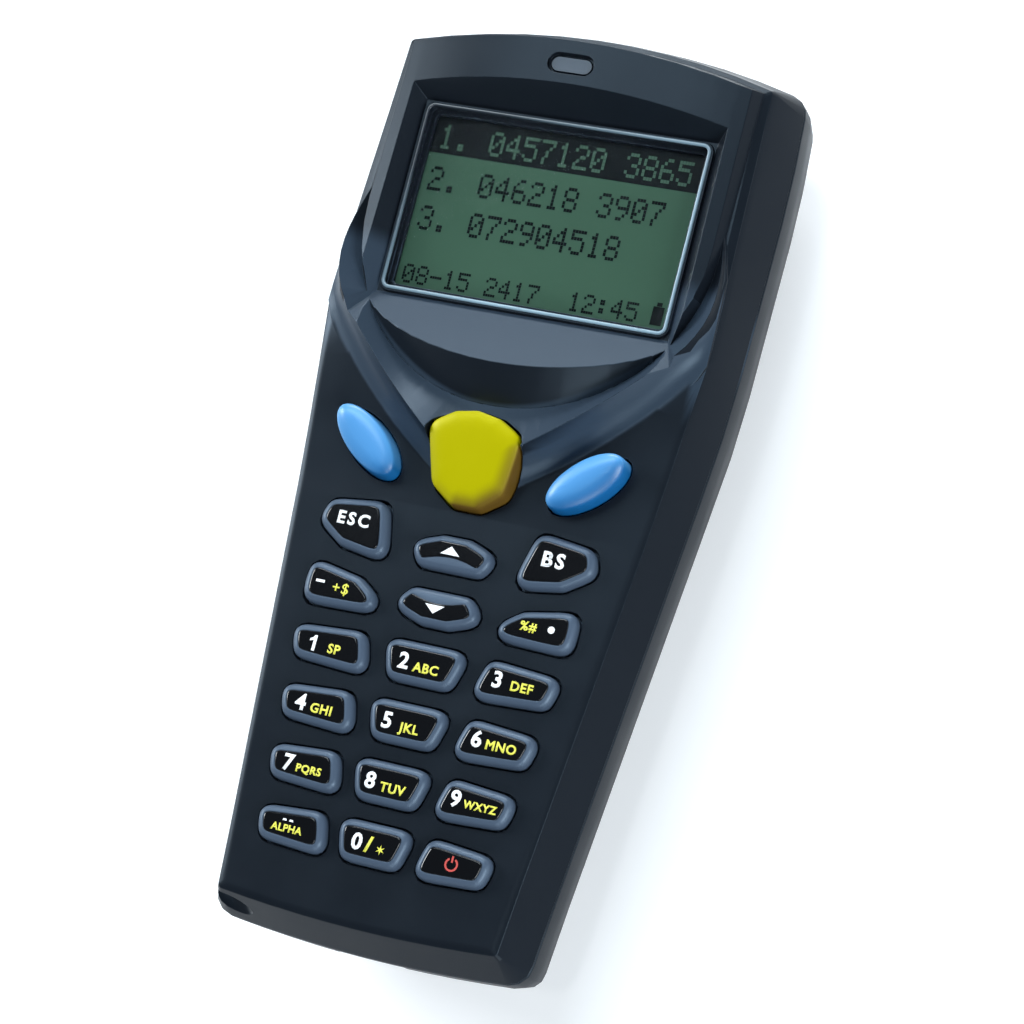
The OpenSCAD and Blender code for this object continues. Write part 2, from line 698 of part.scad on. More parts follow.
// Section of the door: a plate with a tongue along each edge, and a deeper block at the end
module door_form(gap, lead) {
  half = door_w / 2 + gap;
  tongue_z = grip_step + door_t / 2;
  y0 = -top_y - 1;
  length = door_top_y + lead - y0;
  translate([-half, y0, -1]) cube([2 * half, length, door_top + 1 + gap]);
  translate([-half - tongue_w, y0, tongue_z - gap])
    cube([2 * (half + tongue_w), length, door_top - tongue_z + 2 * gap]);
  translate([-half, y0, -1]) cube([2 * half, end_wall_y + gap - y0, end_top_z + 1 + gap]);
}

// Stepped post from the back to the seam, on whose shoulder the board lies
post_r = 3.4;
floor_z = wall;
module screw_posts() {
  intersection() {
    back_skin();
    at_screws() cylinder(r = post_r, h = board_z);
  }
  at_screws() translate([0, 0, board_z - 1]) cylinder(r = boss_r, h = seam_z - board_z + 1);
}

head_z = seam_z - 8;
module screw_bores()
  at_screws() {
    translate([0, 0, -1]) cylinder(r = 2.5, h = head_z + 1);
    cylinder(r = 1.2, h = seam_z + 1);
  }

// Scan window and infrared window: plates bent to the bow of the end walls
window_plate_t = 1.4;
module bent_plate(way, bow_r, sink, w, z, h)
  intersection() {
    translate([0, way * (top_y - bow_r), z]) difference() {
      cylinder(r = bow_r - sink, h = h, $fn = 240);
      translate([0, 0, -1]) cylinder(r = bow_r - sink - window_plate_t, h = h + 2, $fn = 240);
    }
    translate([-w / 2, way * top_y - (way > 0 ? 6 : 0), z]) cube([w, 6, h]);
  }
scan_window_z = 7.4;
ir_w = 9;
ir_h = 3.4;
ir_z = seam_z - 5.2;

engine_y = top_y - 6.4 - engine_l;
engine_w = 22;
engine_z = floor_z + 4;
engine_h = 10.5;
engine_posts = [for (x = [-8, 8], y = [engine_y + 3, engine_y + engine_l - 3.5]) [x, y]];

module back_cover()
  color(SHELL) difference() {
    union() {
      difference() {
        back_skin();
        back_cavity();
      }
      intersection() {
        back_skin();
        union() {
          translate([-tray_half - tray_wall, tray_y0 - tray_wall, grip_step + 0.5])
            cube([2 * (tray_half + tray_wall), tray_len + 2 * tray_wall, board_z - grip_step - 0.5]);
          translate([-rail_half, -top_y, grip_step + 0.4])
            cube([2 * rail_half, door_top_y + 1.4 + top_y, door_top - grip_step + 1]);
          translate([-rail_half, -top_y, grip_step])
            cube([2 * rail_half, tray_y0 + top_y, end_top_z - grip_step + 1.5]);
        }
      }
      screw_posts();
      for (p = engine_posts) translate([p.x, p.y, floor_z - 0.5]) cylinder(r = 1.6, h = engine_z - floor_z + 0.5);
      difference() {
        seam_slab(wall / 2, seam_z - 1, 1 + lip_h);
        seam_slab(wall, seam_z - 2, 3 + lip_h);
      }
    }
    door_form(slide_gap, slide_gap);
    translate([-tray_half, tray_y0, grip_step]) cube([2 * tray_half, tray_len, cell_z + cell_d / 2 + cell_gap - grip_step]);
    screw_bores();
    translate([-scan_window_w / 2 - fit, top_y - 8, scan_window_z - fit])
      cube([scan_window_w + 2 * fit, 12, scan_window_h + 2 * fit]);
    translate([-ir_w / 2 - fit, -top_y - 4, ir_z - fit]) cube([ir_w + 2 * fit, 8, ir_h + 2 * fit]);
  }

// Door of the battery tray, with ridges for the thumb
ridge_n = 5;
module battery_door()
  color(SHELL) {
    intersection() {
      back_skin();
      door_form(0, 0);
    }
    for (i = [0:ridge_n - 1])
      translate([0, door_top_y - 12 - 2.4 * i, grip_step + 0.1])
        rotate([0, 90, 0]) cylinder(r = 0.6, h = 14, center = true, $fn = 24);
  }

// ---- Display ------------------------------------------------------------------------

module display_window()
  color("#9fb6b0") in_display_plane() translate([0, 0, -window_sink - window_t])
    plate(window_w, window_l, bead_r - bead_w, window_t);

module lcd_glass()
  color("#41705a") in_display_plane() translate([-lcd_w / 2, -lcd_l / 2, lcd_top - lcd_t])
    cube([lcd_w, lcd_l, lcd_t]);

// Backlight: a wedge between the board and the tilted glass
module lcd_backlight() {
  depth = lcd_t - lcd_top;
  y = window_y + depth * sin(display_tilt);
  z = face_z + display_rise - depth * cos(display_tilt);
  half = lcd_l / 2 * cos(display_tilt);
  rise = lcd_l / 2 * sin(display_tilt);
  color("#c9ccc6") translate([-lcd_w / 2, 0, 0]) rotate([90, 0, 90]) linear_extrude(lcd_w)
    polygon([[y - half, mat_z], [y + half, mat_z], [y + half, z + rise], [y - half, z - rise]]);
}

module status_light()
  color("#dfe6ea") translate([0, light_y, 0]) {
    translate([0, 0, light_top - 3]) slot(light_w, light_l, 3);
    translate([0, 0, mat_z + led_h + rest_gap]) cylinder(d = guide_d, h = light_top - 2.5 - mat_z - led_h - rest_gap);
  }

led_h = 0.8;
module status_led() color("#f2f2e6") translate([-1.6, light_y - 0.8, mat_z]) cube([3.2, 1.6, led_h]);

// ---- Board --------------------------------------------------------------------------

module main_board()
  color("#1f5a3c") difference() {
    seam_slab(wall + 1.1, board_z, board_t);
    at_screws() translate([0, 0, board_z - 1]) cylinder(r = boss_r + slide_gap, h = board_t + 2);
    strap_clearance(board_z - 1, board_t + 2);
  }

module strap_clearance(z, h)
  translate([-seam_half(-top_y) + 1.5, -top_y + 1.5, z]) cylinder(r = 8 + slide_gap, h = h);

chip_w = 14;
chip_h = 1.4;
chip_y = max(shoulder_y - 12, door_top_y + 2);
module processor()
  color("#17181b") translate([-chip_w / 2, chip_y, board_z - chip_h]) cube([chip_w, chip_w, chip_h]);

side_part_x = 16;
side_part_y = top_y - 31;
module buzzer()
  color("#1b1c20") translate([side_part_x, side_part_y, board_z - 4]) difference() {
    cylinder(d = 12, h = 4);
    translate([0, 0, -1]) cylinder(d = 2, h = 2);
  }

module backup_cell()
  color("#b9bcc0") translate([-side_part_x, side_part_y, board_z - 2.2]) cylinder(d = 12.5, h = 2.2);

// Rubber sheet under the keys, with a hole for each plunger
mat_top_y = scan_key_y + 6;
module keypad_mat()
  color("#3a3f49") difference() {
    intersection() {
      seam_slab(wall + 1.6, mat_z, mat_t);
      translate([-head_w / 2, -top_y, mat_z - 1]) cube([head_w, mat_top_y + top_y, mat_t + 2]);
    }
    for (key = KEYS) key_prism(key, rest_gap - plunger_in, mat_z - 1, mat_t + 2);
    at_screws() translate([0, 0, mat_z - 1]) cylinder(r = boss_r + slide_gap, h = mat_t + 2);
    strap_clearance(mat_z - 1, mat_t + 2);
  }

// ---- Scanning and power -------------------------------------------------------------

module scan_engine()
  color("#2b2d31") translate([-engine_w / 2, engine_y, engine_z]) difference() {
    cube([engine_w, engine_l, engine_h]);
    translate([3, engine_l - 2, 2.5]) cube([engine_w - 6, 3, engine_h - 5]);
  }

module scan_window() color("#5a1014") bent_plate(1, head_bow_r, 1.3, scan_window_w, scan_window_z, scan_window_h);

module ir_window() color("#2a0d12") bent_plate(-1, grip_bow_r, 0.3, ir_w, ir_z, ir_h);

// Cell along Y, lying from its flat end to its button
button_h = 0.9;
module cell(x, y, way)
  translate([x, y, cell_z]) rotate([-90 * way, 0, 0]) {
    cylinder(d = cell_d, h = cell_len - button_h);
    cylinder(d = 3.8, h = cell_len);
  }

spring_y0 = tray_y0 + plate_t;
spring_y1 = tray_y0 + tray_len - plate_t;
module battery_left() color("#c8a544") cell(-cell_x, spring_y0 + spring_len, 1);
module battery_right() color("#c8a544") cell(cell_x, spring_y1 - spring_len, -1);

// Conical coil: one unbroken tube of six sides, eight rings to a curl
curls = 3;
spring_r0 = 3.8;
spring_r1 = 2.6;
rings_per_curl = 8;
function coil_point(k) =
  let (t = k / (curls * rings_per_curl), a = 360 * k / rings_per_curl, r = lerp(spring_r0, spring_r1, t))
  [r * cos(a), r * sin(a), lerp(spring_wire / 2, spring_len - spring_wire / 2, t)];
module coil() {
  n = curls * rings_per_curl;
  points = [
    for (k = [0:n]) let (c = coil_point(k), a = 360 * k / rings_per_curl)
      for (j = [0:5]) c + spring_wire / 2 * [cos(60 * j) * cos(a), cos(60 * j) * sin(a), sin(60 * j)]
  ];
  side = [
    for (k = [0:n - 1], j = [0:5]) let (a = 6 * k + j, b = 6 * k + (j + 1) % 6)
      each [[a, b, b + 6], [a, b + 6, a + 6]]
  ];
  polyhedron(points, concat(side, [[for (j = [5:-1:0]) j]], [[for (j = [0:5]) 6 * n + j]]));
}
coil_gap = min([for (k = [0:(curls - 1) * rings_per_curl])
  norm(coil_point(k + rings_per_curl) - coil_point(k)) - spring_wire]);
echo(least_gap_in_battery_springs = coil_gap);

module battery_spring_left()
  color("#b8bcc2") translate([-cell_x, spring_y0, cell_z]) rotate([-90, 0, 0]) coil();
module battery_spring_right()
  color("#b8bcc2") translate([cell_x, spring_y1, cell_z]) rotate([90, 0, 0]) coil();

// Contact plates on both end walls of the tray
contact_w = 9;
module contact_plates()
  color("#b8bcc2")
    for (x = [-cell_x, cell_x], y = [tray_y0, tray_y0 + tray_len - plate_t])
      translate([x - contact_w / 2, y, cell_z - contact_w / 2]) cube([contact_w, plate_t, contact_w]);

// Pan-head screws that hold the covers together
module case_screws()
  color("#2f3238") at_screws() {
    translate([0, 0, head_z - 1.6]) difference() {
      cylinder(r = 2.1, h = 1.6);
      for (a = [0, 90]) rotate(a) translate([-1.2, -0.3, -1]) cube([2.4, 0.6, 1.8]);
    }
    translate([0, 0, head_z - 0.1]) cylinder(r = 1, h = seam_z + 3.8 - head_z);
  }

// ---- Parts --------------------------------------------------------------------------

front_cover();
back_cover();
battery_door();
display_window();
lcd_glass();
lcd_backlight();
status_light();
status_led();
main_board();
processor();
buzzer();
backup_cell();
keypad_mat();
scan_engine();
scan_window();
ir_window();
battery_left();
battery_right();
battery_spring_left();
battery_spring_right();
contact_plates();
case_screws();
for (key = KEYS) key_body(key);
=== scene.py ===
from math import cos, radians, sin

import bmesh
import bpy
from mathutils import Matrix, Vector


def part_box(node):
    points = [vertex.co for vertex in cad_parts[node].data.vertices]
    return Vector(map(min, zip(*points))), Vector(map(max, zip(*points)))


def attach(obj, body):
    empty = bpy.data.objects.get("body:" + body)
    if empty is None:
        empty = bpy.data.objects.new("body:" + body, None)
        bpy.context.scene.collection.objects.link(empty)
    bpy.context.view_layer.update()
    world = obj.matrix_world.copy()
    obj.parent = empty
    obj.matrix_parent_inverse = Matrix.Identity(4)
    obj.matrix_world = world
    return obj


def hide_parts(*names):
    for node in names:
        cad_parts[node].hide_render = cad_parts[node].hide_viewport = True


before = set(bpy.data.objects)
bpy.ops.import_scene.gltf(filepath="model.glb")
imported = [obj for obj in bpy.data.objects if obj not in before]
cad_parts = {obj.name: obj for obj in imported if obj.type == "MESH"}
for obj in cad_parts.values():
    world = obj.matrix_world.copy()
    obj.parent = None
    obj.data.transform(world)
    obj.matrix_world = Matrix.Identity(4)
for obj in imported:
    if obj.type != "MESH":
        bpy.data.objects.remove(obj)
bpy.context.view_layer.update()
MM = 0.001
scene = bpy.context.scene


# ---- Camera, floor and light --------------------------------------------------------

def place_camera():
    lens = bpy.data.cameras.new("camera")
    lens.lens = 117.77
    lens.sensor_width = 36
    lens.clip_start = 0.01
    camera = bpy.data.objects.new("camera", lens)
    camera.location = (0.154008, -0.081298, 0.404784)
    camera.rotation_euler = (radians(16.1079), radians(17.7194), radians(15.9149))
    scene.collection.objects.link(camera)
    scene.camera = camera


COOL = (0.93, 0.97, 1.0)
BLUE = (0.8, 0.92, 1.0)
# Name, place, target, size, power and tint of each softbox
SOFTBOXES = [
    ("crown_light", (-0.15, 0.29, 0.5), (0, 0.04, 0.03), (0.38, 0.2), 1.65, BLUE),
    ("shoulder_light", (0.03, 0.23, 0.5), (0.01, 0.05, 0.03), (0.12, 0.12), 0.34, BLUE),
    ("front_light", (0.25, -0.62, 0.36), (0, 0, 0.02), (0.3, 0.3), 1.7, (0.86, 0.94, 1.0)),
    ("back_light", (-0.12, 0.75, 0.27), (0, 0, 0.02), (0.5, 0.16), 4.3, COOL),
    ("left_light", (-0.68, 0.12, 0.36), (0, 0, 0.02), (0.3, 0.3), 5.0, COOL),
    ("side_light", (0.62, -0.24, 0.36), (0, 0, 0.02), (0.36, 0.36), 5.0, (0.9, 0.96, 1.0)),
    ("top_light", (0.02, -0.14, 0.75), (0, 0, 0.02), (0.05, 0.05), 0.3, (1, 1, 1)),
]


def add_softbox(name, place, target, size, power, tint):
    light = bpy.data.lights.new(name, "AREA")
    light.shape = "RECTANGLE"
    light.size, light.size_y = size
    light.energy = power
    light.color = tint
    box = bpy.data.objects.new(name, light)
    box.location = place
    box.rotation_euler = (Vector(target) - Vector(place)).to_track_quat("-Z", "Y").to_euler()
    scene.collection.objects.link(box)


def light_the_room():
    """A dark studio with a bright horizon, so flat tops stay deep and slopes catch the light."""
    world = bpy.data.worlds.new("studio")
    world.use_nodes = True
    nodes, links = world.node_tree.nodes, world.node_tree.links
    sky = nodes["Background"]
    sky.inputs["Color"].default_value = (0.84, 0.91, 1.0, 1)
    place = nodes.new("ShaderNodeTexCoord")
    split = nodes.new("ShaderNodeSeparateXYZ")
    climb = nodes.new("ShaderNodeMapRange")
    climb.interpolation_type = "SMOOTHSTEP"
    climb.inputs["From Min"].default_value = 0.05
    climb.inputs["From Max"].default_value = 0.6
    climb.inputs["To Min"].default_value = 0.6
    climb.inputs["To Max"].default_value = 0.08
    links.new(place.outputs["Generated"], split.inputs["Vector"])
    links.new(split.outputs["Z"], climb.inputs["Value"])
    links.new(climb.outputs["Result"], sky.inputs["Strength"])
    scene.world = world
    for name, place, target, size, power, tint in SOFTBOXES:
        add_softbox(name, place, target, size, power, tint)
    scene.view_settings.view_transform = "Standard"


def lay_floor():
    bm = bmesh.new()
    bmesh.ops.create_grid(bm, x_segments=2, y_segments=2, size=3)
    floor = new_piece("floor", bm, [floor_paint()])


# ---- Meshes -------------------------------------------------------------------------

def new_piece(name, bm, materials):
    mesh = bpy.data.meshes.new(name)
    bm.to_mesh(mesh)
    bm.free()
    for material in materials:
        mesh.materials.append(material)
    piece = bpy.data.objects.new(name, mesh)
    scene.collection.objects.link(piece)
    return piece


def welded(node):
    """A bmesh of a CAD node whose loose triangles are joined up."""
    bm = bmesh.new()
    bm.from_mesh(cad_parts[node].data)
    bmesh.ops.remove_doubles(bm, verts=bm.verts, dist=0.002 * MM)
    for face in bm.faces:
        face.smooth = True
    return bm


def verts_of(geom):
    return [g for g in geom if isinstance(g, bmesh.types.BMVert)]


def mark_sharp(bm, angle):
    for edge in bm.edges:
        edge.smooth = edge.is_manifold and edge.calc_face_angle(0) < radians(angle)


def round_edges(piece, width, angle=32, segments=2):
    rounding = piece.modifiers.new("rounding", "BEVEL")
    rounding.width = width * MM
    rounding.segments = segments
    rounding.limit_method = "ANGLE"
    rounding.angle_limit = radians(angle)
    rounding.use_clamp_overlap = False
    rounding.miter_outer = "MITER_ARC"
    normals = piece.modifiers.new("normals", "WEIGHTED_NORMAL")
    normals.keep_sharp = True


# Outer sides of the covers: below the basin's floor, or outside the collar's arms
BASIN_FLOOR = 24.6 * MM
COLLAR_HALF = 22.5 * MM
# A face is a wall where its normal's Z is less than this
WALL_TILT = 0.45


def is_outer_wall(face):
    """Whether a face of a cover is on its outer sides, and not in the basin or the collar."""
    point = face.calc_center_median()
    outside = point.z < BASIN_FLOOR or abs(point.x) > COLLAR_HALF
    return abs(face.normal.z) < WALL_TILT and outside


def dress_node(node, name, materials, body, width=0.12, angle=32):
    """A piece that stands for a CAD node: its own surface with soft shading and rounded edges."""
    bm = welded(node)
    bmesh.ops.dissolve_limit(bm, angle_limit=radians(0.5), verts=bm.verts, edges=bm.edges)
    bmesh.ops.remove_doubles(bm, verts=bm.verts, dist=0.12 * MM)
    mark_sharp(bm, angle)
    if len(materials) > 1:
        bm.normal_update()
        for face in bm.faces:
            face.material_index = int(is_outer_wall(face))
    piece = new_piece(name, bm, materials)
    if width:
        round_edges(piece, width, angle)
    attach(piece, body)
    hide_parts(node)
    return piece


# ---- Materials ----------------------------------------------------------------------

def group_of(name, inputs, outputs):
    group = bpy.data.node_groups.new(name, "ShaderNodeTree")
    for label, kind, value in inputs:
        socket = group.interface.new_socket(label, in_out="INPUT", socket_type="NodeSocket" + kind)
        socket.default_value = value
    for label, kind in outputs:
        group.interface.new_socket(label, in_out="OUTPUT", socket_type="NodeSocket" + kind)
    return group, group.nodes.new("NodeGroupInput"), group.nodes.new("NodeGroupOutput")


def moulded_texture():
    """Fine spark-eroded grain, and a slower mottling of the gloss left by handling."""
    group, given, made = group_of(
        "moulded_texture",
        [("Vector", "Vector", (0, 0, 0)), ("Grain", "Float", 5.0), ("Mottle", "Float", 0.12)],
        [("Height", "Float"), ("Gloss", "Float")],
    )
    nodes, links = group.nodes, group.links
    grain = nodes.new("ShaderNodeTexNoise")
    grain.inputs["Detail"].default_value = 3
    grain.inputs["Roughness"].default_value = 0.6
    mottle = nodes.new("ShaderNodeTexNoise")
    mottle.inputs["Detail"].default_value = 4
    scale_up = nodes.new("ShaderNodeMath")
    scale_up.operation = "MULTIPLY"
    scale_up.inputs[1].default_value = 1000
    scale_low = nodes.new("ShaderNodeMath")
    scale_low.operation = "MULTIPLY"
    scale_low.inputs[1].default_value = 1000
    links.new(given.outputs["Vector"], grain.inputs["Vector"])
    links.new(given.outputs["Vector"], mottle.inputs["Vector"])
    links.new(given.outputs["Grain"], scale_up.inputs[0])
    links.new(given.outputs["Mottle"], scale_low.inputs[0])
    links.new(scale_up.outputs[0], grain.inputs["Scale"])
    links.new(scale_low.outputs[0], mottle.inputs["Scale"])
    links.new(grain.outputs["Fac"], made.inputs["Height"])
    links.new(mottle.outputs["Fac"], made.inputs["Gloss"])
    return group


GROUPS = {}


def material(name, colour, roughness, spread=0.08, grain=5.0, bump=0.0, second=None, **sockets):
    """A material whose colour and gloss vary a little over the surface, over a fine grain."""
    if "texture" not in GROUPS:
        GROUPS["texture"] = moulded_texture()
    made = bpy.data.materials.new(name)
    made.use_nodes = True
    nodes, links = made.node_tree.nodes, made.node_tree.links
    shader = nodes["Principled BSDF"]
    place = nodes.new("ShaderNodeTexCoord")
    texture = nodes.new("ShaderNodeGroup")
    texture.node_tree = GROUPS["texture"]
    texture.inputs["Grain"].default_value = grain
    links.new(place.outputs["Object"], texture.inputs["Vector"])
    gloss = nodes.new("ShaderNodeMapRange")
    gloss.inputs["To Min"].default_value = max(roughness - spread, 0)
    gloss.inputs["To Max"].default_value = min(roughness + spread, 1)
    links.new(texture.outputs["Gloss"], gloss.inputs["Value"])
    links.new(gloss.outputs["Result"], shader.inputs["Roughness"])
    mix = nodes.new("ShaderNodeMix")
    mix.data_type = "RGBA"
    mix.inputs[6].default_value = (*colour, 1)
    mix.inputs[7].default_value = (*(second or [1.15 * c for c in colour]), 1)
    links.new(texture.outputs["Gloss"], mix.inputs["Factor"])
    links.new(mix.outputs[2], shader.inputs["Base Color"])
    if bump:
        relief = nodes.new("ShaderNodeBump")
        relief.inputs["Distance"].default_value = bump * MM
        relief.inputs["Strength"].default_value = 0.6
        links.new(texture.outputs["Height"], relief.inputs["Height"])
        links.new(relief.outputs["Normal"], shader.inputs["Normal"])
    for socket, value in sockets.items():
        shader.inputs[socket.replace("_", " ")].default_value = value
    return made


def blend_in(made, share, colour):
    """Lays a second colour over a material's own, by a share that changes over the surface."""
    nodes, links = made.node_tree.nodes, made.node_tree.links
    base = nodes["Principled BSDF"].inputs["Base Color"]
    mix = nodes.new("ShaderNodeMix")
    mix.data_type = "RGBA"
    mix.inputs[7].default_value = (*colour, 1)
    links.new(base.links[0].from_socket, mix.inputs[6])
    links.new(share, mix.inputs["Factor"])
    links.new(mix.outputs[2], base)
    return made


def step(made, value, start, end, kind="LINEAR"):
    """A share that goes from 0 to 1 as a value goes from start to end."""
    node = made.node_tree.nodes.new("ShaderNodeMapRange")
    node.interpolation_type = kind
    node.inputs["From Min"].default_value = start
    node.inputs["From Max"].default_value = end
    made.node_tree.links.new(value, node.inputs["Value"])
    return node.outputs["Result"]


def along(made, vector, direction):
    node = made.node_tree.nodes.new("ShaderNodeVectorMath")
    node.operation = "DOT_PRODUCT"
    node.inputs[1].default_value = direction
    made.node_tree.links.new(vector, node.inputs[0])
    return node.outputs["Value"]


def reckon(made, kind, *terms):
    node = made.node_tree.nodes.new("ShaderNodeMath")
    node.operation = kind
    for socket, term in zip(node.inputs, terms):
        if hasattr(term, "links"):
            made.node_tree.links.new(term, socket)
        else:
            socket.default_value = term
    return node.outputs[0]


def parts_of(made, node_type, output):
    """A vector of the surface, and its parts along X, Y and Z."""
    vector = made.node_tree.nodes.new(node_type).outputs[output]
    split = made.node_tree.nodes.new("ShaderNodeSeparateXYZ")
    made.node_tree.links.new(vector, split.inputs["Vector"])
    return vector, split.outputs


RIGHT_AND_DOWN = (0.55, -0.83, 0)


def deepen_walls(made, colour, start, end):
    """Painted shade: a deeper colour on the walls of a key that face right and down, away from the
    light.
    """
    normal, _ = parts_of(made, "ShaderNodeNewGeometry", "Normal")
    return blend_in(made, step(made, along(made, normal, RIGHT_AND_DOWN), start, end), colour)


def fade_bead(made):
    """Painted highlight: the bead is painted bright along its lower and right runs, where it
    catches the light, and left dark in its upper left corner.
    """
    place, _ = parts_of(made, "ShaderNodeTexCoord", "Object")
    share = step(made, along(made, place, (0.6, -0.8, 0)), -42 * MM, -20 * MM)
    return blend_in(made, share, (0.2, 0.3, 0.37))


# These bound the painted sheen on the collar and panel
# Half width of the collar at the middle of the frame, and its growth along Y
ARM_HALF = 18 * MM
ARM_SPREAD = 0.45
# Y of the crescent wall's foot in the middle, and its bend, in metres
FOOT_PLACE = 8.6 * MM
FOOT_BEND = 26


def lighten_collar(made):
    """Painted sheen: the collar and the panel above it are painted paler than the face, as light
    on their slopes; the crescent wall, facing down into shade, is not.

    The painted sheen lies between the two arms, above the grip's face and below the hood's crown.
    """
    _, tilt = parts_of(made, "ShaderNodeNewGeometry", "Normal")
    _, place = parts_of(made, "ShaderNodeTexCoord", "Object")
    x, y = place["X"], place["Y"]
    # The arms widen towards the head, and the foot of the crescent wall is a shallow arc
    half_width = reckon(made, "MULTIPLY_ADD", y, ARM_SPREAD, ARM_HALF)
    outside = reckon(made, "SUBTRACT", reckon(made, "ABSOLUTE", x), half_width)
    foot = reckon(made, "MULTIPLY_ADD", reckon(made, "MULTIPLY", x, x), FOOT_BEND, FOOT_PLACE)
    above_foot = reckon(made, "SUBTRACT", y, foot)
    wall = reckon(made, "MULTIPLY", step(made, tilt["Y"], -0.1, -0.4, "SMOOTHSTEP"),
                  step(made, above_foot, -0.4 * MM, 0.3 * MM, "SMOOTHSTEP"))
    share = reckon(made, "SUBTRACT", 1, wall)
    limits = (
        (tilt["Z"], 0.997, 0.95),
        (tilt["Z"], 0.3, 0.45),
        (outside, 2 * MM, 0),
        (y, -5 * MM, -1 * MM),
        (y, 29 * MM, 26 * MM),
    )
    for value, start, end in limits:
        share = reckon(made, "MULTIPLY", share, step(made, value, start, end, "SMOOTHSTEP"))
    # The paler colour of the painted sheen
    return blend_in(made, share, (0.027, 0.041, 0.061))


def floor_paint():
    return material("floor_paint", (0.93, 0.94, 0.95), 0.7, grain=0.1, second=(0.95, 0.96, 0.97),
                    Emission_Color=(1, 1, 1, 1), Emission_Strength=0.16)


def clear_window():
    """Polished clear plastic that lets the light through to what lies under it."""
    made = material("clear_window", (0.95, 0.98, 0.97), 0.0, spread=0.0,
                    Transmission_Weight=1.0, IOR=1.03)
    nodes, links = made.node_tree.nodes, made.node_tree.links
    rays = nodes.new("ShaderNodeLightPath")
    passing = nodes.new("ShaderNodeBsdfTransparent")
    mix = nodes.new("ShaderNodeMixShader")
    either = nodes.new("ShaderNodeMath")
    either.operation = "MAXIMUM"
    links.new(rays.outputs["Is Shadow Ray"], either.inputs[0])
    links.new(rays.outputs["Is Diffuse Ray"], either.inputs[1])
    links.new(either.outputs[0], mix.inputs["Fac"])
    links.new(nodes["Principled BSDF"].outputs["BSDF"], mix.inputs[1])
    links.new(passing.outputs["BSDF"], mix.inputs[2])
    links.new(mix.outputs["Shader"], nodes["Material Output"].inputs["Surface"])
    return made


SLATE = (0.66, 0.84, 1, 1)
PAINTS = {
    # The shell carries a painted sheen on the collar and the panel above it
    "shell": lambda: lighten_collar(material(
        "satin_shell", (0.0055, 0.0077, 0.0114), 0.33, grain=6, bump=0.012, Specular_Tint=SLATE,
        Specular_IOR_Level=0.22)),
    "wall": lambda: material(
        "satin_wall", (0.0055, 0.0077, 0.0114), 0.36, grain=6, bump=0.012, Specular_Tint=SLATE,
        Specular_IOR_Level=0.05),
    "rubber": lambda: material(
        "grey_rubber", (0.05, 0.072, 0.108), 0.4, grain=8, bump=0.008, Specular_Tint=SLATE),
    "cap": lambda: material("black_cap", (0.0022, 0.0026, 0.0036), 0.12, spread=0.03),
    # The yellow and blue keys get painted shade on their walls that face right and down
    "yellow": lambda: deepen_walls(material(
        "yellow_rubber", (0.36, 0.33, 0.0), 0.42, second=(0.39, 0.36, 0.0), grain=8, bump=0.006,
        Specular_Tint=(1, 0.9, 0.1, 1)), (0.11, 0.06, 0.01), 0.34, 0.66),
    "blue": lambda: deepen_walls(material(
        "blue_rubber", (0.075, 0.29, 0.6), 0.36, second=(0.09, 0.31, 0.64), grain=8, bump=0.006),
        (0.005, 0.1, 0.28), -0.1, 0.62),
    "white_ink": lambda: material("white_ink", (0.8, 0.82, 0.84), 0.5),
    "yellow_ink": lambda: material("yellow_ink", (0.62, 0.6, 0.06), 0.5),
    "red_ink": lambda: material("red_ink", (0.45, 0.05, 0.04), 0.5),
    "lcd": lambda: material("lcd_film", (0.03, 0.07, 0.045), 0.4, second=(0.034, 0.077, 0.051),
                             Specular_IOR_Level=0.05),
    "lcd_ink": lambda: material("lcd_ink", (0.002, 0.0035, 0.0045), 0.4, Specular_IOR_Level=0.05),
    "lcd_pale": lambda: material("lcd_pale", (0.036, 0.075, 0.052), 0.4, Specular_IOR_Level=0.05),
    "window": clear_window,
    # The bead's pale lower and right runs are a painted highlight over its dark colour
    "bead": lambda: fade_bead(material("bead_painted_highlight", (0.014, 0.02, 0.028), 0.25, Coat_Weight=0.3)),
    "lens": lambda: material("smoky_lens", (0.035, 0.05, 0.07), 0.3, Specular_IOR_Level=0.25),
    "diffuser": lambda: material("milky_diffuser", (0.6, 0.62, 0.58), 0.5),
    "board": lambda: material("solder_mask", (0.01, 0.09, 0.04), 0.35, grain=2, bump=0.01),
    "chip": lambda: material("moulded_epoxy", (0.012, 0.012, 0.013), 0.55, grain=8, bump=0.01),
    "nickel": lambda: material("bright_nickel", (0.62, 0.61, 0.58), 0.22, Metallic=1.0),
    "sleeve": lambda: material("cell_sleeve", (0.5, 0.3, 0.03), 0.25, Coat_Weight=0.4),
    "screw": lambda: material("blackened_steel", (0.06, 0.062, 0.068), 0.4, Metallic=1.0),
    "red_glass": lambda: material(
        "dark_red_window", (0.06, 0.004, 0.006), 0.07, spread=0.03, Coat_Weight=1.0),
    "engine": lambda: material("engine_block", (0.02, 0.021, 0.024), 0.5, grain=5, bump=0.02),
}
MADE = {}


def paint(name):
    if name not in MADE:
        MADE[name] = PAINTS[name]()
    return MADE[name]


def repaint(node, name):
    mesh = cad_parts[node].data
    mesh.materials.clear()
    mesh.materials.append(paint(name))


# ---- Covers -------------------------------------------------------------------------

def build_covers():
    dress_node("front_cover", "front_shell", [paint("shell"), paint("wall")], "body", width=0.07)
    dress_node("back_cover", "back_shell", [paint("shell"), paint("wall")], "body", width=0.1)
    dress_node("battery_door", "sliding_door", [paint("shell")], "door", width=0.1)


# ---- Keys ---------------------------------------------------------------------------

